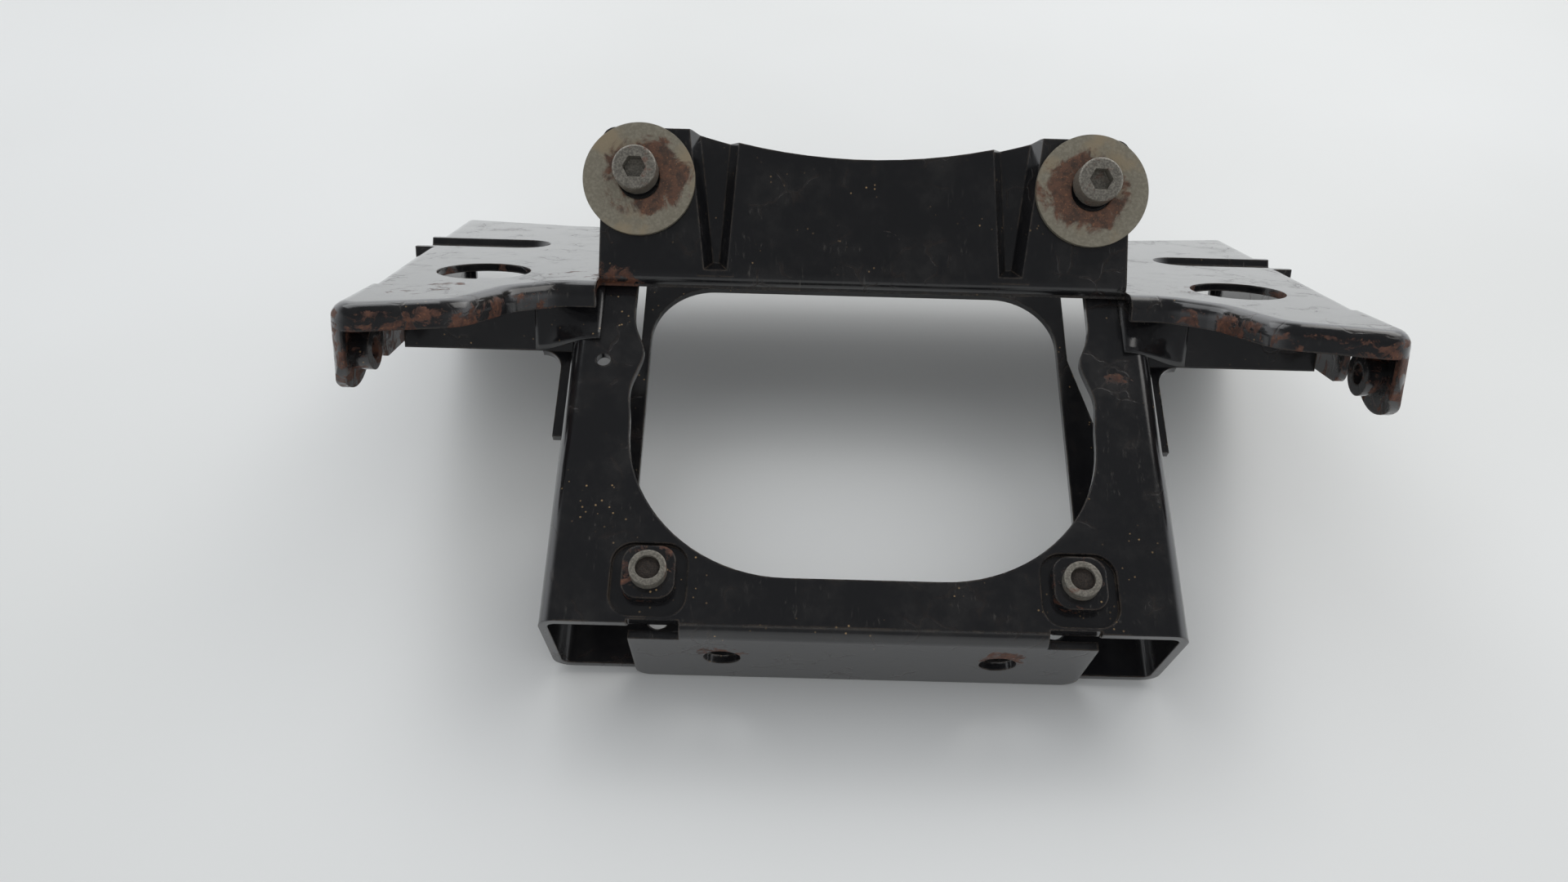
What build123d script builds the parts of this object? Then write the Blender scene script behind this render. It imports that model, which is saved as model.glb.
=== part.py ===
from build123d import *
from math import atan2, cos, radians, sin
import os

# Motor mounting bracket: a pressed frame with two open legs, a pressed top sheet with
# two wings and an upright strap, and the screws, washers and nuts that it carries.

# ---- frame sheet, in its own plane: x across, u up the legs, n out of the front plate
sheet = 2.4
cut_margin = 1.0
frame_width = 171.5
column_setback = 6.25
column_half = frame_width / 2 - column_setback
frame_depth = 36.5
bend = 5.0
flange_drop = 2.4
flange_half = 62.1
flange_reach = 35.4
flange_corner = 4.5
flange_hole_d = 10.2
flange_hole_x = 37.6
flange_hole_n = 19.0
relief_inner = 48.5
relief_back = 5.5
relief_up = 1.0
opening_bottom = 13.6
opening_corner = 45.0
opening_half = 65.9
waist_half = 63.8
waist_u = 83.0
hip_half = 66.7
hip_u = 72.0
shoulder_u = 98.4
shoulder_half = 67.4
back_opening_half = 66.3
back_opening_bottom = 16.0
back_opening_top = 131.0
back_opening_corner = 20.0
kink_u = 59.1
back_narrow_u = 106.0
back_top_half = 69.5
lip_out = 3.5
lip_round = 6.0
pilot_hole_d = 4.2
pilot_hole_x = 75.4
pilot_hole_u = 80.4

# ---- lower clamp pads
pad_x = 57.2
pad_u = 12.3
pad_size = (20.5, 20.8)
pad_corner = 6.0
pad_depth = 1.5
clamp_plate_size = (14.2, 15.0)
clamp_plate_corner = 4.5
clamp_plate_thick = 3.0
clamp_u = 13.8
lower_thread_d = 6.0
lower_head_d = 10.0
lower_head_high = 3.2
lower_socket_d = 6.6
lower_socket_deep = 2.0
lower_clearance = 0.4
lower_hole_d = lower_thread_d + lower_clearance
lower_nut_flats = 10.0
lower_nut_high = 5.0

# ---- top sheet, in its own plane: x across, v back from the strap's bend, w up
wing_fall = 44.2
bend_line_u = 105.4
bend_line_n = 5.1
wing_bend = 4.5
near_edge_v = -7.5
near_edge = [(88.5, near_edge_v), (100.5, -17.5), (109.2, -39.6)]
near_round = 12.0
near_drop = 7.2
far_edge_v = 115.4
far_edge_half = 104.5
far_corner = (151.3, 126.7)
step = (141.8, -13.7)
ear_x = 143.2
ear_near_v = -51.8
ear_corner = 7.0
side_drop = 23.0
ear_v = -34.0
ear_radius = 14.2
ear_drop = 25.7
far_wrap = 5.0
window_half = 75.0
window_near_v = 6.0
window_far_v = 52.0
wing_hole_d = 28.0
wing_hole = (114.6, 8.3)
groove_v = 66.0
groove_inner = 105.3
groove_width = 19.0
groove_deep = 2.5
web_v = -2.9
web_deep = 21.7
web_gap = 0.3
groove_taper = 20.0
far_bend_back = 20.0

# ---- strap, in its own plane: x across, h up the strap, m out of its near face
strap_lean = 28.5
strap_half = 78.6
strap_high = 45.3
strap_corner = 4.0
strap_dip = 37.5
strap_flat_inner = 52.0
strap_bend = 4.0
channel_top = (37.7, 52.7)
channel_low = (40.5, 47.4)
channel_low_h = 3.6
channel_deep = 5.0
channel_taper = 29.0
channel_wall = 2.0

# ---- upper screws and washers
upper_screw = (67.8, 31.6)
upper_thread_d = 8.0
upper_head_d = 13.0
upper_head_high = 8.0
upper_socket_flats = 6.0
upper_socket_deep = 4.0
upper_clearance = 1.0
upper_nut_flats = 13.0
nut_slack = 0.2
upper_nut_high = 6.5
washer_d = 33.3
washer_thick = 1.8
washer_hole_d = 12.2
washer_slip = (-0.6, -1.8)

# ---- weld nuts in the ears
ear_nut_d = 12.2
ear_nut_thick = 5.5
ear_nut_v = -33.0
ear_nut_w = -14.9
ear_thread_d = 6.0
ear_hole_d = 7.0

# ---- how the bracket lies: on the legs' rear edge and the side flanges' far corners
fall = radians(wing_fall)
along_v = (cos(fall), -sin(fall))
along_w = (sin(fall), cos(fall))


def wing_point(v, w):
    """The (u, n) place of a point of the top sheet's plane."""
    return (
        bend_line_u + along_v[0] * v + along_w[0] * w,
        bend_line_n + along_v[1] * v + along_w[1] * w,
    )


far_foot = wing_point(far_corner[1], -side_drop)
rise = atan2(-frame_depth - far_foot[1], far_foot[0])


def table_point(u, n):
    """The (y, z) place of a point of the frame's side view, before centring."""
    return (u * cos(rise) - n * sin(rise), u * sin(rise) + n * cos(rise))


front_bend_y = table_point(bend - flange_drop, -bend)[0] - bend
far_y = table_point(*wing_point(far_corner[1], 0))[0]
base_y = -(front_bend_y + far_y) / 2
base_z = -table_point(0, -frame_depth)[1]


def side_plane_point(u, n):
    """The same place as a point of the model, midway across."""
    y, z = table_point(u, n)
    return (0, y + base_y, z + base_z)


def turned_normal(u, n):
    """A direction of the side view as a direction of the model."""
    y, z = table_point(u, n)
    return (0, y, z)


def wing_v(point):
    """How far back a point lies in the top sheet's plane."""
    return wing.to_local_coords(point).Y


front = Plane(side_plane_point(0, 0), x_dir=(1, 0, 0), z_dir=turned_normal(0, 1))
side = Plane(side_plane_point(0, 0), x_dir=turned_normal(1, 0), z_dir=(1, 0, 0))
across = Plane(side_plane_point(0, 0), x_dir=(1, 0, 0), z_dir=turned_normal(1, 0))
wing = Plane(side_plane_point(*wing_point(0, 0)), x_dir=(1, 0, 0), z_dir=turned_normal(*along_w))
wing_side = Plane(
    side_plane_point(*wing_point(0, 0)), x_dir=turned_normal(*along_v), z_dir=(1, 0, 0)
)
lean = radians(strap_lean)
strap_out = (-sin(lean), cos(lean))
strap = Plane(side_plane_point(*wing_point(0, 0)), x_dir=(1, 0, 0), z_dir=turned_normal(*strap_out))
wing_axis = Axis(wing.origin, wing.z_dir)
strap_axis = Axis(strap.origin, strap.z_dir)
front_axis = Axis(front.origin, front.z_dir)
underside = wing.offset(-sheet)
frame_half = frame_width / 2


# ---- frame sheet
front_length = bend_line_u + frame_depth
web_low = wing_point(web_v, -web_deep)

with BuildPart() as frame_sheet:
    # the two legs: a box section, open at its lower end
    with BuildSketch(across):
        with Locations((0, frame_depth / 2)):
            Rectangle(frame_width, frame_depth)
        fillet(vertices(), bend)
        offset(amount=-sheet, mode=Mode.SUBTRACT)
    extrude(amount=kink_u)
    # front plate above the legs
    with BuildSketch(front):
        with Locations((0, front_length / 2)):
            Rectangle(2 * column_half, front_length)
    extrude(amount=-sheet)
    # rear wall, narrowing towards the top
    with BuildSketch(front.offset(-frame_depth)):
        with BuildLine():
            Polyline(
                (0, kink_u - bend),
                (frame_half - bend, kink_u - bend),
                (frame_half - bend, kink_u + bend),
                (back_top_half, back_narrow_u),
                (back_top_half, front_length + frame_depth),
                (0, front_length + frame_depth),
                close=True,
            )
        make_face()
        mirror(about=Plane.YZ)
    extrude(amount=sheet)
    # bottom flange, bent back from the front plate
    with BuildSketch(side.offset(-flange_half)):
        with BuildLine():
            FilletPolyline(
                (opening_bottom - bend, 0),
                (-flange_drop, 0),
                (-flange_drop, -flange_reach),
                radius=bend,
            )
            offset(amount=sheet, side=Side.LEFT)
        make_face()
    extrude(amount=2 * flange_half)
    # columns: the front plate's sides bent back, up to the top sheet
    # and lips: the columns' far edges turned outwards above the kink
    lip_tip = frame_half + lip_out + lip_round
    for hand in (-1, 1):
        inside = Side.LEFT if hand > 0 else Side.RIGHT
        with BuildSketch(across.offset(kink_u)):
            with BuildLine():
                FilletPolyline(
                    (hand * (column_half - sheet), 0),
                    (hand * frame_half, 0),
                    (hand * frame_half, sheet - web_low[1]),
                    radius=bend,
                )
                offset(amount=sheet, side=inside)
            make_face()
        extrude(amount=front_length - kink_u)
        with BuildSketch(across.offset(kink_u)):
            lip_wide = lip_tip - frame_half + sheet
            with Locations((hand * (lip_tip - lip_wide / 2), sheet / 2 - web_low[1])):
                Rectangle(lip_wide, sheet)
        extrude(amount=web_low[0] + sheet - kink_u)
    # webs square to the top sheet
    for hand in (-1, 1):
        web_outer = step[0] - 2 * sheet - web_gap
        web_inner = frame_half - sheet / 2
        with BuildSketch(wing_side.offset(hand * web_inner)):
            with Locations((web_v + sheet / 2, -web_deep / 2)):
                Rectangle(sheet, web_deep)
        extrude(amount=hand * (web_outer - web_inner))
    # everything stops under the top sheet
    split(bisect_by=underside, keep=Keep.BOTTOM)
    # the motor's opening: a round-cornered bowl that widens to a waist and a shoulder
    with BuildSketch(front.offset(bend)):
        with BuildLine():
            low_centre = (opening_half - opening_corner, opening_bottom + opening_corner)
            Line((0, opening_bottom), (low_centre[0], opening_bottom))
            CenterArc(low_centre, opening_corner, -90, 90)
            Spline(
                (opening_half, low_centre[1]),
                (hip_half, hip_u),
                (waist_half, waist_u),
                (shoulder_half, shoulder_u),
                tangents=((0, 1), (0, 1)),
            )
            Polyline(
                (shoulder_half, shoulder_u),
                (shoulder_half, front_length),
                (0, front_length),
                (0, opening_bottom),
            )
        make_face()
        mirror(about=Plane.YZ)
    extrude(amount=-2 * bend - sheet, mode=Mode.SUBTRACT)
    # the larger window in the rear wall
    with BuildSketch(front.offset(-frame_depth - cut_margin)):
        back_high = back_opening_top - back_opening_bottom
        with Locations((0, back_opening_bottom + back_high / 2)):
            Rectangle(2 * back_opening_half, back_high)
        fillet(vertices(), back_opening_corner)
    extrude(amount=sheet + 2 * cut_margin, mode=Mode.SUBTRACT)
    # lower pads: pressed in from the front, standing out behind
    for hand in (-1, 1):
        with BuildSketch(front.offset(-sheet)):
            with Locations((hand * pad_x, pad_u)):
                RectangleRounded(pad_size[0] + sheet, pad_size[1] + sheet, pad_corner)
        extrude(amount=-pad_depth)
        with BuildSketch(front):
            with Locations((hand * pad_x, pad_u)):
                RectangleRounded(*pad_size, pad_corner)
        extrude(amount=-pad_depth, mode=Mode.SUBTRACT)
        with Locations(front.offset(-pad_depth) * Pos(hand * pad_x, clamp_u, 0)):
            Hole(lower_hole_d / 2)
        with Locations(front * Pos(hand * pilot_hole_x, pilot_hole_u, 0)):
            if hand < 0:
                Hole(pilot_hole_d / 2, depth=2 * sheet)
    # relief slots between the legs and the bottom flange
    for hand in (-1, 1):
        with BuildSketch(front.offset(bend)):
            slot_wide = flange_half - relief_inner
            with Locations((hand * (relief_inner + slot_wide / 2), relief_up - bend)):
                Rectangle(slot_wide, 2 * bend)
        extrude(amount=-bend - relief_back, mode=Mode.SUBTRACT)
    # bottom flange: rounded far corners and two holes
    with BuildSketch(across.offset(-2 * flange_drop)):
        with Locations((0, flange_reach / 2 + bend)):
            Rectangle(2 * flange_half + sheet, flange_reach)
        with Locations((0, flange_reach / 2)):
            RectangleRounded(
                2 * flange_half, flange_reach, flange_corner, mode=Mode.SUBTRACT
            )
    extrude(amount=2 * flange_drop, mode=Mode.SUBTRACT)
    with BuildSketch(across.offset(-2 * flange_drop)):
        with Locations((-flange_hole_x, flange_hole_n), (flange_hole_x, flange_hole_n)):
            Circle(flange_hole_d / 2)
    extrude(amount=2 * flange_drop + sheet, mode=Mode.SUBTRACT)
    # lip outline: narrow above the kink, sweeping out under the web
    lip_edge = frame_half + lip_out
    sweep_u = web_low[0] - lip_round
    for hand in (-1, 1):
        with BuildSketch(front.offset(bend)):
            with Locations((hand * (lip_edge + lip_round), (kink_u + sweep_u) / 2)):
                Rectangle(2 * lip_round, sweep_u - kink_u)
            with Locations((hand * (lip_edge + lip_round), sweep_u)):
                Circle(lip_round)
        extrude(amount=-frame_depth / 2, mode=Mode.SUBTRACT)




# ---- top sheet: the strap leans back over its window by slope_back
slope_back = radians(90 - wing_fall - strap_lean)
strap_v, strap_w = sin(slope_back), cos(slope_back)
foot_v = sheet
far_bend_start = far_corner[1] - far_bend_back

with BuildPart() as top_sheet:
    # wings and far plate in one outline, as deep as the ears, pressed as a tray
    with BuildSketch(wing):
        with BuildLine():
            Polyline(
                (0, near_edge_v),
                *near_edge,
                (ear_x, ear_near_v),
                (ear_x, step[1]),
                step,
                far_corner,
                (far_edge_half, far_edge_v),
                (0, far_edge_v),
                close=True,
            )
        make_face()
        fillet(vertices().filter_by(lambda v: v.X in [p[0] for p in near_edge]), near_round)
        fillet(vertices().filter_by(lambda v: v.X == ear_x and v.Y == ear_near_v), ear_corner)
        mirror(about=Plane.YZ)
    extrude(amount=-ear_drop)
    top_face = faces().sort_by(wing_axis)[-1]
    fillet(top_face.edges().filter_by(lambda e: wing_v(e.center()) < far_bend_start), wing_bend)
    offset(amount=-sheet, openings=[faces().sort_by(wing_axis)[0]])
    # the near flange is shallow
    with BuildSketch(wing.offset(-near_drop)):
        with Locations((0, ear_near_v)):
            Rectangle(2 * (ear_x - wing_bend), 2 * (window_near_v - ear_near_v))
    extrude(amount=-ear_drop, mode=Mode.SUBTRACT)
    # the far edge is open but for the corners
    with BuildSketch(wing.offset(-sheet)):
        with Locations((0, far_corner[1])):
            Rectangle(2 * (far_corner[0] - far_wrap), 2 * (far_corner[1] - far_bend_start))
    extrude(amount=-ear_drop, mode=Mode.SUBTRACT)
    # side view of the flanges: a rounded ear, a slot, then the long side flange
    with BuildSketch(wing_side.offset(-far_corner[0])):
        with Locations((0, -ear_drop)):
            Rectangle(3 * far_corner[1], 2 * (ear_drop - near_drop))
        with Locations((ear_v, ear_radius - ear_drop)):
            Circle(ear_radius, mode=Mode.SUBTRACT)
        with Locations((ear_v, -ear_drop / 2 + ear_radius / 2)):
            Rectangle(2 * ear_radius, ear_drop - ear_radius, mode=Mode.SUBTRACT)
        with Locations((step[1] + far_corner[1], -side_drop / 2 + bend / 2)):
            RectangleRounded(2 * far_corner[1], side_drop + bend, bend, mode=Mode.SUBTRACT)
    extrude(amount=2 * far_corner[0], mode=Mode.SUBTRACT)
    # window behind the strap, and the near edge cleared for the strap's foot
    with BuildSketch(wing.offset(wing_bend)):
        with Locations((0, (window_near_v + window_far_v) / 2)):
            Rectangle(2 * window_half, window_far_v - window_near_v)
        with Locations((0, near_edge_v)):
            Rectangle(2 * strap_half, 2 * (foot_v - near_edge_v))
    extrude(amount=-2 * ear_drop, mode=Mode.SUBTRACT)
    # grooves sunk into the wings, open at the outer edge
    for hand in (-1, 1):
        groove_long = far_corner[0] - groove_inner
        with BuildSketch(wing):
            with Locations((hand * (groove_inner + groove_long / 2), groove_v)):
                SlotOverall(groove_long + groove_width, groove_width + 2 * sheet)
            with Locations((hand * (far_corner[0] + groove_long / 2 - sheet), groove_v)):
                Rectangle(groove_long, 2 * groove_width, mode=Mode.SUBTRACT)
        extrude(amount=-groove_deep - sheet)
        with BuildSketch(wing):
            with Locations((hand * (groove_inner + groove_long), groove_v)):
                SlotOverall(2 * groove_long, groove_width)
        extrude(amount=-groove_deep, taper=groove_taper, mode=Mode.SUBTRACT)
    # round holes of the wings and screw holes of the ears
    with BuildSketch(wing):
        with Locations(wing_hole, (-wing_hole[0], wing_hole[1])):
            Circle(wing_hole_d / 2)
    extrude(amount=-near_drop, mode=Mode.SUBTRACT)
    with BuildSketch(wing_side.offset(-far_corner[0])):
        with Locations((ear_nut_v, ear_nut_w)):
            Circle(ear_hole_d / 2)
    extrude(amount=2 * far_corner[0], mode=Mode.SUBTRACT)
    # the strap's foot and its bend
    with BuildSketch(wing_side.offset(-strap_half)):
        with BuildLine():
            FilletPolyline(
                (window_near_v, -sheet),
                (-sheet * strap_v / strap_w, -sheet),
                (3 * strap_bend * strap_v, 3 * strap_bend * strap_w),
                radius=strap_bend,
            )
            offset(amount=sheet, side=Side.RIGHT)
        make_face()
    extrude(amount=2 * strap_half)
    # the strap, its top edge dipping in a long arc
    with BuildSketch(strap):
        with BuildLine():
            Line((0, 2 * strap_bend), (strap_half, 2 * strap_bend))
            Line((strap_half, 2 * strap_bend), (strap_half, strap_high))
            Line((strap_half, strap_high), (strap_flat_inner, strap_high))
            ThreePointArc(
                (strap_flat_inner, strap_high),
                (0, strap_dip),
                (-strap_flat_inner, strap_high),
            )
            Line((-strap_flat_inner, strap_high), (-strap_half, strap_high))
            Line((-strap_half, strap_high), (-strap_half, 2 * strap_bend))
            Line((-strap_half, 2 * strap_bend), (0, 2 * strap_bend))
        make_face()
        fillet(vertices().filter_by(lambda v: v.Y == strap_high and abs(v.X) == strap_half), strap_corner)
    extrude(amount=-sheet)
    # two sunken channels stiffen the strap, open at its top edge
    past_top = 2 * strap_high
    rate = (channel_top[1] - channel_low[1]) / (strap_high - channel_low_h)
    inner_rate = (channel_low[0] - channel_top[0]) / (strap_high - channel_low_h)
    past_outer = channel_low[1] + rate * (past_top - channel_low_h)
    past_inner = channel_low[0] - inner_rate * (past_top - channel_low_h)
    for wall, depth, mode in (
        (channel_wall, channel_deep + channel_wall, Mode.ADD),
        (0, channel_deep, Mode.SUBTRACT),
    ):
        for hand in (-1, 1):
            with BuildSketch(strap):
                with BuildLine():
                    Polyline(
                        (hand * (channel_low[0] - wall), channel_low_h - wall),
                        (hand * (channel_low[1] + wall), channel_low_h - wall),
                        (hand * (past_outer + wall), past_top),
                        (hand * (past_inner - wall), past_top),
                        close=True,
                    )
                make_face()
            extrude(amount=-depth, taper=channel_taper, mode=mode)
    # both stop at the strap's top edge
    with BuildSketch(strap.offset(bend)):
        with Locations((0, strap_high + past_top / 2)):
            Rectangle(2 * strap_half, past_top)
    extrude(amount=-4 * bend, mode=Mode.SUBTRACT)
    with BuildSketch(strap.offset(bend)):
        with BuildLine():
            ThreePointArc(
                (strap_flat_inner, strap_high),
                (0, strap_dip),
                (-strap_flat_inner, strap_high),
            )
            Polyline(
                (-strap_flat_inner, strap_high),
                (-strap_flat_inner, 2 * strap_high),
                (strap_flat_inner, 2 * strap_high),
                (strap_flat_inner, strap_high),
            )
        make_face()
    extrude(amount=-4 * bend, mode=Mode.SUBTRACT)
    with BuildSketch(strap):
        with Locations(upper_screw, (-upper_screw[0], upper_screw[1])):
            Circle((upper_thread_d + upper_clearance) / 2)
    extrude(amount=-2 * sheet, mode=Mode.SUBTRACT)
top_sheet.part.label = "top sheet"

# ---- screws, washers, plates and nuts, the same on both hands
os.makedirs("parts", exist_ok=True)


def save(piece, label):
    """Name a finished piece and write its file."""
    piece.part.label = label
    export_step(piece.part, "parts/" + label.replace(" ", "_") + ".step")


save(frame_sheet, "motor frame sheet")
save(top_sheet, "top sheet")

for hand, name in ((-1, "left"), (1, "right")):
    screw_at = (hand * upper_screw[0], upper_screw[1])
    washer_at = (
        hand * (upper_screw[0] + washer_slip[0]),
        upper_screw[1] + washer_slip[1],
    )
    with BuildPart() as washer:
        with BuildSketch(strap):
            with Locations(washer_at):
                Circle(washer_d / 2)
                Circle(washer_hole_d / 2, mode=Mode.SUBTRACT)
        extrude(amount=washer_thick)
        chamfer(edges().filter_by(GeomType.CIRCLE).sort_by(Axis.Z)[-1:], washer_thick / 6)
    save(washer, name + " washer")

    upper_shank = washer_thick + sheet + upper_nut_high + upper_clearance
    with BuildPart() as upper_screw_piece:
        with BuildSketch(strap.offset(washer_thick)):
            with Locations(screw_at):
                Circle(upper_head_d / 2)
        extrude(amount=upper_head_high)
        fillet(edges().filter_by(GeomType.CIRCLE).group_by(strap_axis)[-1], upper_clearance)
        with BuildSketch(strap.offset(washer_thick + upper_head_high)):
            with Locations(screw_at):
                RegularPolygon(upper_socket_flats / 2, 6, major_radius=False)
        extrude(amount=-upper_socket_deep, mode=Mode.SUBTRACT)
        with BuildSketch(strap.offset(washer_thick)):
            with Locations(screw_at):
                Circle(upper_thread_d / 2)
        extrude(amount=-upper_shank)
    save(upper_screw_piece, name + " upper screw")

    with BuildPart() as upper_nut:
        with BuildSketch(strap.offset(-sheet)):
            with Locations(screw_at):
                RegularPolygon(upper_nut_flats / 2, 6, major_radius=False)
                Circle((upper_thread_d + nut_slack) / 2, mode=Mode.SUBTRACT)
        extrude(amount=-upper_nut_high)
    save(upper_nut, name + " upper nut")

    clamp_at = (hand * pad_x, clamp_u)
    with BuildPart() as clamp_plate:
        with BuildSketch(front.offset(-pad_depth)):
            with Locations(clamp_at):
                RectangleRounded(*clamp_plate_size, clamp_plate_corner)
                Circle(lower_hole_d / 2, mode=Mode.SUBTRACT)
        extrude(amount=clamp_plate_thick)
    save(clamp_plate, name + " clamp plate")

    lower_seat = clamp_plate_thick - pad_depth
    with BuildPart() as lower_screw:
        with BuildSketch(front.offset(lower_seat)):
            with Locations(clamp_at):
                Circle(lower_head_d / 2)
        extrude(amount=lower_head_high)
        fillet(edges().filter_by(GeomType.CIRCLE).group_by(front_axis)[-1], lower_clearance)
        with BuildSketch(front.offset(lower_seat + lower_head_high)):
            with Locations(clamp_at):
                Circle(lower_socket_d / 2)
        extrude(amount=-lower_socket_deep, mode=Mode.SUBTRACT)
        with BuildSketch(front.offset(lower_seat)):
            with Locations(clamp_at):
                Circle(lower_thread_d / 2)
        extrude(amount=-lower_seat - sheet - pad_depth - lower_nut_high - upper_clearance)
    save(lower_screw, name + " lower screw")

    with BuildPart() as lower_nut:
        with BuildSketch(front.offset(-sheet - pad_depth)):
            with Locations(clamp_at):
                RegularPolygon(lower_nut_flats / 2, 6, major_radius=False)
                Circle((lower_thread_d + nut_slack) / 2, mode=Mode.SUBTRACT)
        extrude(amount=-lower_nut_high)
    save(lower_nut, name + " lower nut")

    with BuildPart() as ear_nut:
        with BuildSketch(wing_side.offset(hand * (ear_x - sheet))):
            with Locations((ear_nut_v, ear_nut_w)):
                Circle(ear_nut_d / 2)
                Circle(ear_thread_d / 2, mode=Mode.SUBTRACT)
        extrude(amount=-hand * ear_nut_thick)
    save(ear_nut, name + " ear nut")
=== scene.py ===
import math
import bpy
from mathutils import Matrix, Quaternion, Vector, noise


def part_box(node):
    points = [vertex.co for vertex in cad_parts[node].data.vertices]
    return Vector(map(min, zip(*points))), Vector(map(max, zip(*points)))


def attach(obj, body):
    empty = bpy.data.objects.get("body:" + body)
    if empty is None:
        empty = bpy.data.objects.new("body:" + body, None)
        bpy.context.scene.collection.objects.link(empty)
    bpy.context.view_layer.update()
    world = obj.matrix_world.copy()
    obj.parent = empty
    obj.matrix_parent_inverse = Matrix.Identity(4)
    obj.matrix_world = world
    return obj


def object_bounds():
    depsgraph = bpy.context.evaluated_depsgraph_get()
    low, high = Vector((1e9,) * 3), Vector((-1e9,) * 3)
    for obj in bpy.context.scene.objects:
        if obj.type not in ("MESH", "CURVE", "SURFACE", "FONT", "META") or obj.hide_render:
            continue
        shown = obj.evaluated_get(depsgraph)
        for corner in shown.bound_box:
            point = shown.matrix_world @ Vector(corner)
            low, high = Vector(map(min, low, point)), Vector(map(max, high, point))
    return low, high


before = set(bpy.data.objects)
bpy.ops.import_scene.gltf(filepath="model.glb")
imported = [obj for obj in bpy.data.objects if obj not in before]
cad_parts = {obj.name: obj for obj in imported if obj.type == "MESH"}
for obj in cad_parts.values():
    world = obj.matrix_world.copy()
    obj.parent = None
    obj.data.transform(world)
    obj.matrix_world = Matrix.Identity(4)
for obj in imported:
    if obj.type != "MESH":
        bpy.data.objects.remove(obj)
cadBox = [list(corner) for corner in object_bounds()]
sides = {"left": -1, "right": 1}
print("frame loaded")


# wraps a node's output socket, so sums on it add Math nodes
class Wire:
    def __init__(self, tree, socket=None):
        self.tree = tree
        self.socket = socket

    # every node comes from here: settings first, then sockets by name or number
    def node(self, kind, settings, sockets, output=0):
        made = self.tree.nodes.new("ShaderNode" + kind)
        for name, value in settings.items():
            setattr(made, name, value)
        for name, value in sockets.items():
            feed(self.tree, made.inputs[name], value)
        return Wire(self.tree, made.outputs[output])

    def math(self, operation, first, second):
        return self.node("Math", {"operation": operation}, {0: first, 1: second})

    def vector(self, operation, sockets, output=0):
        return self.node("VectorMath", {"operation": operation}, sockets, output)

    def __add__(self, other):
        return self.math("ADD", self, other)

    def __radd__(self, other):
        return self.math("ADD", other, self)

    def __sub__(self, other):
        return self.math("SUBTRACT", self, other)

    def __rsub__(self, other):
        return self.math("SUBTRACT", other, self)

    def __mul__(self, other):
        return self.math("MULTIPLY", self, other)

    def __rmul__(self, other):
        return self.math("MULTIPLY", other, self)

    def absolute(self):
        return self.math("ABSOLUTE", self, 0.0)

    # 0 below start, 1 above end, eased between
    def ramp(self, start, end):
        sockets = {"Value": self, "From Min": start, "From Max": end}
        return self.node("MapRange", {"interpolation_type": "SMOOTHSTEP"}, sockets)

    def cap(self):
        return self.math("MINIMUM", self.math("MAXIMUM", self, 0.0), 1.0)

    # first colour where this wire is 0, second where it is 1
    def mixColour(self, first, second):
        return self.node("Mix", {"data_type": "RGBA"}, {0: self, 6: first, 7: second}, 2)

    def stretch(self, scale):
        return self.node("Mapping", {}, {"Vector": self, "Scale": scale})

    def axis(self, name):
        return self.node("SeparateXYZ", {}, {"Vector": self}, name)

    def noise(self, scale, detail=4.0, rough=0.55, warp=0.0):
        sockets = {"Vector": self, "Scale": scale, "Detail": detail, "Roughness": rough}
        sockets["Distortion"] = warp
        return self.node("TexNoise", {}, sockets)

    def cells(self, scale, feature="F1"):
        return self.node("TexVoronoi", {"feature": feature}, {"Vector": self, "Scale": scale})


def feed(tree, target, value):
    if isinstance(value, Wire):
        tree.links.new(value.socket, target)
    else:
        target.default_value = value


def startMaterial(name):
    material = bpy.data.materials.new(name)
    material.use_nodes = True
    tree = material.node_tree
    place = Wire(tree).node("TexCoord", {}, {}, "Object")
    return material, tree.nodes["Principled BSDF"], place


# edge is how far sharp corners look rounded, depth how deep the bump goes
def finishMaterial(shader, place, surface, height, depth=0.0004, edge=0.0005):
    rounded = place.node("Bevel", {"samples": 4}, {"Radius": edge})
    sockets = {"Height": height, "Distance": depth, "Normal": rounded}
    surface["Normal"] = place.node("Bump", {}, sockets)
    for name, value in surface.items():
        feed(place.tree, shader.inputs[name], value)


# 1 inside a ball round centre, fading to 0 outside
def blob(place, centre, radius, soft=1.0):
    distance = place.vector("DISTANCE", {0: place, 1: centre}, 1)
    return 1.0 - distance.ramp(radius * (1.0 - 0.5 * soft), radius * (1.0 + 0.5 * soft))


rustLook = {
    "dark": (0.035, 0.014, 0.009, 1),
    "brown": (0.095, 0.035, 0.018, 1),
    "light": (0.21, 0.085, 0.035, 1),
}


def rustColour(place):
    tone = place.noise(420, 5, 0.65)
    fine = place.noise(1500, 3, 0.6)
    base = tone.ramp(0.35, 0.62).mixColour(rustLook["dark"], rustLook["brown"])
    return fine.ramp(0.55, 0.75).mixColour(base, rustLook["light"])


paintLook = {
    "black": (0.007, 0.007, 0.0078, 1),
    "dust": (0.03, 0.028, 0.026, 1),
    "scuff": (0.09, 0.082, 0.072, 1),
    "speck": (0.3, 0.2, 0.1, 1),
    # worn paint on convex edges, partly a painted highlight of the lit edges
    "wornAndLitEdge": (0.16, 0.115, 0.075, 1),
    "crack": (0.014, 0.009, 0.007, 1),
    "gloss": 0.13,  # roughness of clean paint, the next five add to it
    "dustRough": 0.14,
    "scuffRough": 0.25,
    "wornRough": 0.45,
    "crackRough": 0.2,
    "edgeRough": 0.2,
    "coat": 0.6,
    "coatRough": 0.1,
    "edge": 0.0009,
}
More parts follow.
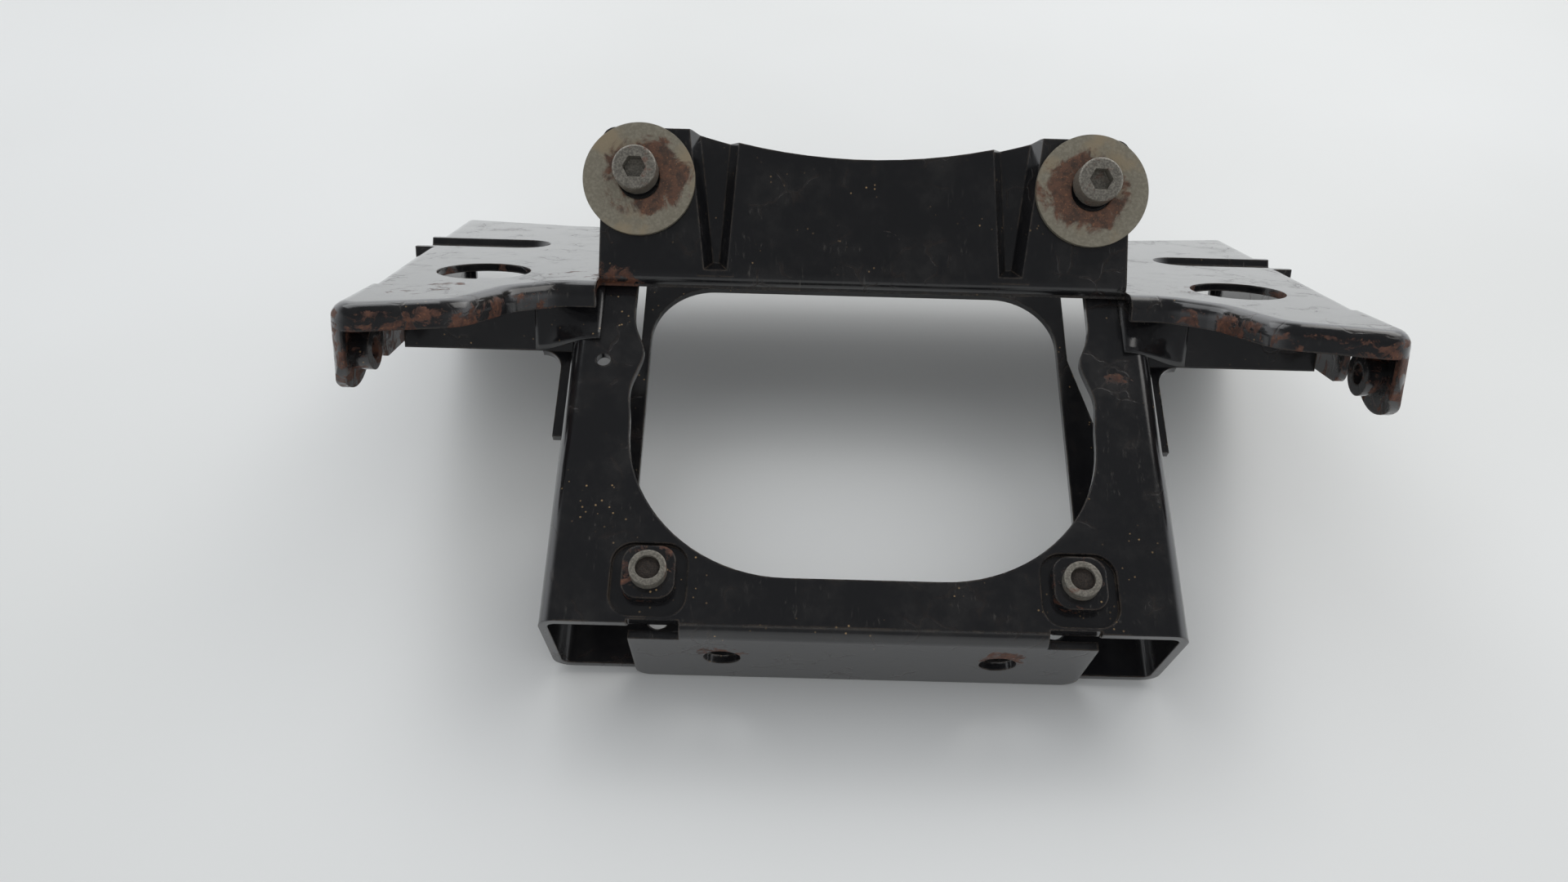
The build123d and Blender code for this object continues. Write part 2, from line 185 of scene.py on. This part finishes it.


# 1 along convex edges, broken up by noise: partly worn paint, partly a painted highlight of edges
#                                           catching light
def wornAndLitEdges(place):
    flat = place.node("NewGeometry", {}, {}, "Normal")
    rounded = place.node("Bevel", {"samples": 4}, {"Radius": paintLook["edge"]})
    facing = place.vector("DOT_PRODUCT", {0: rounded, 1: flat}, 1)
    return (1.0 - facing).ramp(0.03, 0.2) * place.noise(120, 4, 0.7).ramp(0.36, 0.6)


wingBend = {
    "up": (0, 0.42, 0.907),  # the way the wing's flat top faces
    "strapSide": 0.08,  # half width of the strap, which has no such bend
    "strapFade": 0.012,
    "farthest": 0.02,  # no bend behind this
}


# 1 where a wing's sheet turns down at its near side
def turnedDown(place):
    flat = place.node("NewGeometry", {}, {}, "Normal")
    facing = place.vector("DOT_PRODUCT", {0: flat, 1: wingBend["up"]}, 1)
    start = wingBend["strapSide"]
    outside = place.axis("X").absolute().ramp(start, start + wingBend["strapFade"])
    nearSide = 1.0 - place.axis("Y").ramp(0.0, wingBend["farthest"])
    return (1.0 - facing.ramp(0.35, 0.97)) * outside * nearSide


# gloss black paint, flaked, scuffed and rusted where the sheet is worked hardest
def paintedSteel(name, wear):
    look = paintLook
    material, shader, place = startMaterial(name)
    broad = place.noise(38, 5, 0.6, 0.4)
    medium = place.noise(150, 6, 0.65, 0.8)
    fine = place.noise(900, 4, 0.6)
    rustField = broad * 0.45 + medium * 0.75
    for centre, radius, strength in wear["spots"]:
        rustField = blob(place, centre, radius) * strength + rustField
    if wear["bendRust"]:
        rustField = rustField + turnedDown(place) * wear["bendRust"]
    rust = rustField.ramp(wear["rustStart"], wear["rustStart"] + 0.07)
    edges = wornAndLitEdges(place)

    # cracks between paint islands, open only in worn stretches
    wander = place.node("TexNoise", {}, {"Vector": place, "Scale": 160.0}, 1)
    wander = place.vector("SCALE", {0: wander, "Scale": 0.006})
    warped = place.vector("ADD", {0: place, 1: wander})
    crack = 1.0 - warped.cells(95, "DISTANCE_TO_EDGE").ramp(0.012, 0.05)
    crack = crack * place.noise(70, 3, 0.5).ramp(0.5, 0.62) * (0.25 + wear["cracks"])

    chips = (medium * 0.7 + fine * 0.3).ramp(wear["chipStart"], wear["chipStart"] + 0.03)
    specks = 1.0 - place.cells(420).ramp(0.06, 0.16)
    specks = specks * place.noise(60, 2).ramp(0.52, 0.66)
    streaks = place.stretch((900, 260, 90)).noise(1.0, 3, 0.7)
    scuffs = streaks.ramp(0.58, 0.8) * place.noise(45, 2).ramp(0.45, 0.65)
    dust = place.noise(70, 5, 0.7).ramp(0.42, 0.75)

    colour = (dust * 0.35).mixColour(look["black"], look["dust"])
    colour = (scuffs * 0.55).mixColour(colour, look["scuff"])
    colour = (specks * 0.8).mixColour(colour, look["speck"])
    # painted highlight along convex edges, mixed with worn bare paint
    colour = (edges * 0.4).mixColour(colour, look["wornAndLitEdge"])
    colour = (crack * 0.85).mixColour(colour, look["crack"])
    colour = chips.mixColour(colour, rustLook["dark"])
    colour = rust.mixColour(colour, rustColour(place))

    worn = (rust + chips).cap()
    rough = look["gloss"] + dust * look["dustRough"] + scuffs * look["scuffRough"]
    rough = rough + worn * look["wornRough"] + crack * look["crackRough"] + edges * look["edgeRough"]
    height = broad * 0.25 + fine * 0.05 - crack * (wear["cracks"] * 0.6)
    height = height - worn * 0.35 + rust * fine * 0.6
    surface = {"Base Color": colour, "Roughness": rough.cap(), "Coat Weight": look["coat"] - worn * 0.55,
               "Coat Roughness": look["coatRough"]}
    finishMaterial(shader, place, surface, height, edge=look["edge"])
    return material


washerLook = {
    "dull": (0.2, 0.18, 0.135, 1),
    "pale": (0.25, 0.228, 0.175, 1),
    "stain": (0.27, 0.22, 0.145, 1),
    "metal": 0.25,
    "ringRadius": 0.0125,  # rust under the screw's head
    "sideRadius": 0.016,
    "lean": {"left": (0.009, 0, 0.003), "right": (-0.009, 0, 0)},  # which way the rust lies
}


# dull zinc, rusted in a ring and on one side
def washerZinc(name, side):
    look = washerLook
    material, shader, place = startMaterial(name)
    centre = middle(side + "_washer")
    tone = place.noise(160, 5, 0.65, 0.5)
    fine = place.noise(1100, 4, 0.6)
    rustSide = blob(place, tuple(centre + Vector(look["lean"][side])), look["sideRadius"], 1.2)
    ring = blob(place, tuple(centre), look["ringRadius"], 0.5)
    rust = (tone * 0.8 + rustSide * 0.22 + ring * 0.2).ramp(0.6, 0.74)
    patina = fine.ramp(0.4, 0.65)
    colour = patina.mixColour(look["dull"], look["pale"])
    colour = place.noise(90, 3).ramp(0.5, 0.7).mixColour(colour, look["stain"])
    colour = (rust * 0.9).mixColour(colour, rustColour(place))
    rough = 0.42 + rust * 0.35 + patina * 0.1
    surface = {"Base Color": colour, "Roughness": rough.cap(),
               "Metallic": look["metal"] - rust * look["metal"]}
    finishMaterial(shader, place, surface, tone * 0.3 + fine * 0.3)
    return material


screwLook = {
    "dark": (0.14, 0.13, 0.11, 1),
    "pale": (0.28, 0.26, 0.22, 1),
    "metal": 0.45,
}


# grey phosphated steel with rust in scattered patches
def screwSteel(name):
    look = screwLook
    material, shader, place = startMaterial(name)
    tone = place.noise(300, 5, 0.6)
    fine = place.noise(1800, 3, 0.6)
    rust = tone.ramp(0.56, 0.7)
    colour = fine.ramp(0.35, 0.7).mixColour(look["dark"], look["pale"])
    colour = (rust * 0.75).mixColour(colour, rustLook["brown"])
    surface = {"Base Color": colour, "Roughness": 0.36 + rust * 0.35,
               "Metallic": look["metal"] - rust * 0.4}
    finishMaterial(shader, place, surface, tone * 0.2 + fine * 0.2)
    return material


def packedDirt(name):
    material, shader, place = startMaterial(name)
    grain = place.noise(2600, 4, 0.7)
    colour = grain.ramp(0.3, 0.7).mixColour((0.01, 0.008, 0.007, 1), (0.05, 0.035, 0.025, 1))
    surface = {"Base Color": colour, "Roughness": 0.6 + grain * 0.3}
    finishMaterial(shader, place, surface, grain, depth=0.0006)
    return material


def setMaterial(piece, material):
    piece.data.materials.clear()
    piece.data.materials.append(material)


def middle(node):
    lowest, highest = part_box(node)
    return (Vector(lowest) + Vector(highest)) / 2


# spots are centre, radius and how much rust they add
topSheetWear = {
    "rustStart": 0.79,
    "chipStart": 0.66,
    "bendRust": 0.22,
    "cracks": 0.6,
    "spots": [
        ((-0.128, -0.028, 0.078), 0.014, 0.1),
        ((0.128, -0.028, 0.078), 0.014, 0.1),
        ((-0.0745, -0.008, 0.071), 0.009, 0.3),
        ((0.1, 0.0, 0.07), 0.012, 0.12),
        ((0.125, 0.04, 0.055), 0.02, 0.08),
        ((-0.09, 0.0, 0.071), 0.006, 0.12),
    ],
}
frameWear = {
    "rustStart": 0.86,
    "chipStart": 0.7,
    "bendRust": 0,
    "cracks": 0.3,
    "spots": [
        ((-0.0572, -0.094, 0.042), 0.014, 0.12),
        ((0.0572, -0.094, 0.042), 0.014, 0.12),
        ((0.074, -0.03, 0.062), 0.006, 0.3),
        ((-0.0376, -0.103, 0.02), 0.008, 0.3),
        ((0.0376, -0.103, 0.02), 0.008, 0.3),
    ],
}
nutWear = {"rustStart": 0.6, "chipStart": 0.55, "bendRust": 0, "cracks": 0.3, "spots": []}
clampPlateWear = {"rustStart": 0.63, "chipStart": 0.55, "bendRust": 0, "cracks": 0.3, "spots": []}

framePaint = paintedSteel("framePaint", frameWear)
screwFinish = screwSteel("screwSteel")
nutFinish = paintedSteel("nutPaint", nutWear)
clampPlateFinish = paintedSteel("plateRust", clampPlateWear)
finishes = {"top_sheet": paintedSteel("topSheetPaint", topSheetWear), "motor_frame_sheet": framePaint}
for side in sides:
    finishes[side + "_washer"] = washerZinc(side + "WasherZinc", side)
    finishes[side + "_clamp_plate"] = clampPlateFinish
    for screw in ("upper_screw", "lower_screw"):
        finishes[f"{side}_{screw}"] = screwFinish
    for nut in ("upper_nut", "lower_nut", "ear_nut"):
        finishes[f"{side}_{nut}"] = nutFinish
for node, finish in finishes.items():
    setMaterial(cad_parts[node], finish)
print("finishes set")


sheetPlanes = {
    "wingFall": math.radians(44.2),  # the top sheet's slope from the frame sheet
    "rise": math.atan2(63.2, 180.2),  # the frame sheet's slope from the table
    "bendU": 0.1054,
    "bendN": 0.0051,
    "originY": -0.105915,
    "originZ": 0.0344418,
}


# u runs up the frame sheet, n stands out from it
def fromSheet(x, u, n):
    rise = sheetPlanes["rise"]
    y = u * math.cos(rise) - n * math.sin(rise) + sheetPlanes["originY"]
    z = u * math.sin(rise) + n * math.cos(rise) + sheetPlanes["originZ"]
    return Vector((x, y, z))


# v runs back along the top sheet, w stands out from it
def fromWing(x, v, w):
    fall = sheetPlanes["wingFall"]
    u = sheetPlanes["bendU"] + math.cos(fall) * v + math.sin(fall) * w
    n = sheetPlanes["bendN"] - math.sin(fall) * v + math.cos(fall) * w
    return fromSheet(x, u, n)


def addMesh(name, points, faces):
    mesh = bpy.data.meshes.new(name)
    mesh.from_pydata(points, [], faces)
    for face in mesh.polygons:
        face.use_smooth = True
    piece = bpy.data.objects.new(name, mesh)
    bpy.context.scene.collection.objects.link(piece)
    return piece


webBend = {
    "columnX": 0.077,
    "columnLow": 0.0872,
    "columnHigh": 0.1062,
    "columnLift": 0.00015,
    "webX": 0.097,
    "webV": -0.0031,
    "webLow": -0.0212,
    "webHigh": -0.003,
    "thick": 0.0012,
    "across": 14,
    "up": 10,
}


# a thin twisted band that eases a column's face into its web
def buildWebBend(name, side):
    bend = webBend
    points = []
    for step in range(bend["across"] + 1):
        share = step / bend["across"]
        eased = share * share * (3 - 2 * share)
        x = side * (bend["columnX"] + (bend["webX"] - bend["columnX"]) * share)
        for rung in range(bend["up"] + 1):
            climb = rung / bend["up"]
            u = bend["columnLow"] + (bend["columnHigh"] - bend["columnLow"]) * climb
            w = bend["webLow"] + (bend["webHigh"] - bend["webLow"]) * climb
            column = fromSheet(x, u, bend["columnLift"])
            points.append(column.lerp(fromWing(x, bend["webV"], w), eased))
    row = bend["up"] + 1
    faces = [(a, a + 1, a + row + 1, a + row) for step in range(bend["across"])
             for a in range(step * row, step * row + bend["up"])]
    piece = addMesh(name, points, faces)
    sheet = piece.modifiers.new("sheet", "SOLIDIFY")
    sheet.thickness = bend["thick"]
    sheet.offset = -side
    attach(piece, "root")
    setMaterial(piece, framePaint)


for side, sign in sides.items():
    buildWebBend(side + "_web_bend", sign)
print("web bends built")


socketDirt = {
    "headU": 0.0138,  # the lower screw's axis on the frame sheet
    "headTop": 0.0047,
    "deep": 0.0011,
    "radius": 0.0033,
    "dome": 0.0005,
    "lump": 0.0004,
    "lumpsPerMetre": 900,
    "rings": 7,
    "spokes": 28,
}


# a domed, lumpy disc seated in a screw's socket
def buildSocketDirt(name, screw, material):
    dirt = socketDirt
    axis = Vector((0, -math.sin(sheetPlanes["rise"]), math.cos(sheetPlanes["rise"])))
    sideways = Vector((1, 0, 0))
    upward = axis.cross(sideways)
    centre = fromSheet(middle(screw).x, dirt["headU"], dirt["headTop"] - dirt["deep"])
    points = [centre + axis * dirt["dome"]]
    for ring in range(1, dirt["rings"] + 1):
        share = ring / dirt["rings"]
        fall = 1 - share ** 2
        radius = dirt["radius"] * share
        for spoke in range(dirt["spokes"]):
            turn = math.tau * spoke / dirt["spokes"]
            place = centre + sideways * radius * math.cos(turn) + upward * radius * math.sin(turn)
            lump = noise.noise(place * dirt["lumpsPerMetre"]) * dirt["lump"] * fall
            points.append(place + axis * (dirt["dome"] * fall + lump))
    spokes = dirt["spokes"]
    faces = [(0, 1 + spoke, 1 + (spoke + 1) % spokes) for spoke in range(spokes)]
    for ring in range(dirt["rings"] - 1):
        first = 1 + ring * spokes
        for spoke in range(spokes):
            after = (spoke + 1) % spokes
            faces.append((first + spoke, first + spokes + spoke, first + spokes + after, first + after))
    piece = addMesh(name, points, faces)
    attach(piece, "root")
    setMaterial(piece, material)


dirtFinish = packedDirt("packedDirt")
for side in sides:
    buildSocketDirt(side + "_socket_dirt", side + "_lower_screw", dirtFinish)
print("socket dirt built")


tableLook = {
    "reach": 4.0,
    "gap": 0.0002,  # below the bracket's lowest point
    "grey": (0.62, 0.625, 0.61, 1),
    "pale": (0.66, 0.665, 0.655, 1),
}


def buildTable():
    reach = tableLook["reach"]
    z = cadBox[0][2] - tableLook["gap"]
    corners = [(-reach, -reach, z), (reach, -reach, z), (reach, reach, z), (-reach, reach, z)]
    table = addMesh("table", corners, [(0, 1, 2, 3)])
    material, shader, place = startMaterial("tableWhite")
    cloud = place.noise(3, 3, 0.5)
    colour = cloud.ramp(0.3, 0.7).mixColour(tableLook["grey"], tableLook["pale"])
    surface = {"Base Color": colour, "Roughness": 0.3 + cloud * 0.1}
    finishMaterial(shader, place, surface, cloud, depth=0.0001, edge=0.0)
    setMaterial(table, material)


buildTable()
print("table built")


# gloss says whether shiny surfaces mirror the lamp
lamps = {
    "rightSoftbox": {"spot": (0.75, 0.75, 1.0), "size": (0.95, 0.8), "power": 4.0,
                     "colour": (1, 0.98, 0.95), "gloss": True},
    "leftSoftbox": {"spot": (-0.6, 0.9, 1.1), "size": (0.95, 0.8), "power": 3.8,
                    "colour": (0.96, 0.98, 1), "gloss": True},
    "frontFill": {"spot": (-0.1, -1.6, 0.45), "size": (1.2, 0.3), "power": 1.2,
                  "colour": (1, 1, 1), "gloss": False},
    "backSoftbox": {"spot": (0.1, 1.6, 0.8), "size": (2.2, 0.9), "power": 2.4,
                    "colour": (1, 1, 1), "gloss": True},
}
lampTarget = Vector((0, 0.02, 0.05))


def addLamp(name, lamp):
    data = bpy.data.lights.new(name, "AREA")
    data.shape = "RECTANGLE"
    data.size, data.size_y = lamp["size"]
    data.energy = lamp["power"]
    data.color = lamp["colour"]
    softbox = bpy.data.objects.new(name, data)
    softbox.location = lamp["spot"]
    softbox.rotation_euler = (lampTarget - softbox.location).to_track_quat("-Z", "Y").to_euler()
    softbox.visible_glossy = lamp["gloss"]
    bpy.context.scene.collection.objects.link(softbox)


for name, lamp in lamps.items():
    addLamp(name, lamp)


room = {
    "colour": (0.95, 0.97, 1, 1),
    "glow": 0.9,  # what lights the bracket and the table
    "overhead": 0.12,  # the rest is what gloss mirrors
    "nearBand": 0.06,
    "farBand": 0.9,
}


def buildRoom():
    world = bpy.data.worlds.new("room")
    world.use_nodes = True
    background = world.node_tree.nodes["Background"]
    direction = Wire(world.node_tree).node("TexCoord", {}, {}, "Generated")
    lowBand = 1.0 - direction.axis("Z").ramp(0.3, 0.75)
    farSide = direction.axis("Y").ramp(-0.9, 0.2)
    mirrored = room["overhead"] + lowBand * (room["nearBand"] + farSide * room["farBand"])
    isGloss = direction.node("LightPath", {}, {}, "Is Glossy Ray")
    strength = room["glow"] + isGloss * (mirrored - room["glow"])
    feed(world.node_tree, background.inputs["Strength"], strength)
    background.inputs["Color"].default_value = room["colour"]
    bpy.context.scene.world = world


buildRoom()


view = {
    "lens": 28.125,
    "sensor": 36.0,
    "spot": (-0.0229, -0.3098, 0.2839),
    "heading": (0.002, 0.7412, -0.6703),
    "roll": math.radians(1.64),
    "nearest": 0.01,
}
camera = bpy.data.objects.new("camera", bpy.data.cameras.new("camera"))
camera.data.lens = view["lens"]
camera.data.sensor_width = view["sensor"]
camera.data.clip_start = view["nearest"]
camera.location = view["spot"]
camera.rotation_mode = "QUATERNION"
heading = Vector(view["heading"]).to_track_quat("-Z", "Y")
camera.rotation_quaternion = heading @ Quaternion((0, 0, 1), view["roll"])
bpy.context.scene.collection.objects.link(camera)
bpy.context.scene.camera = camera
bpy.context.scene.view_settings.view_transform = "Standard"
print("light and camera set")
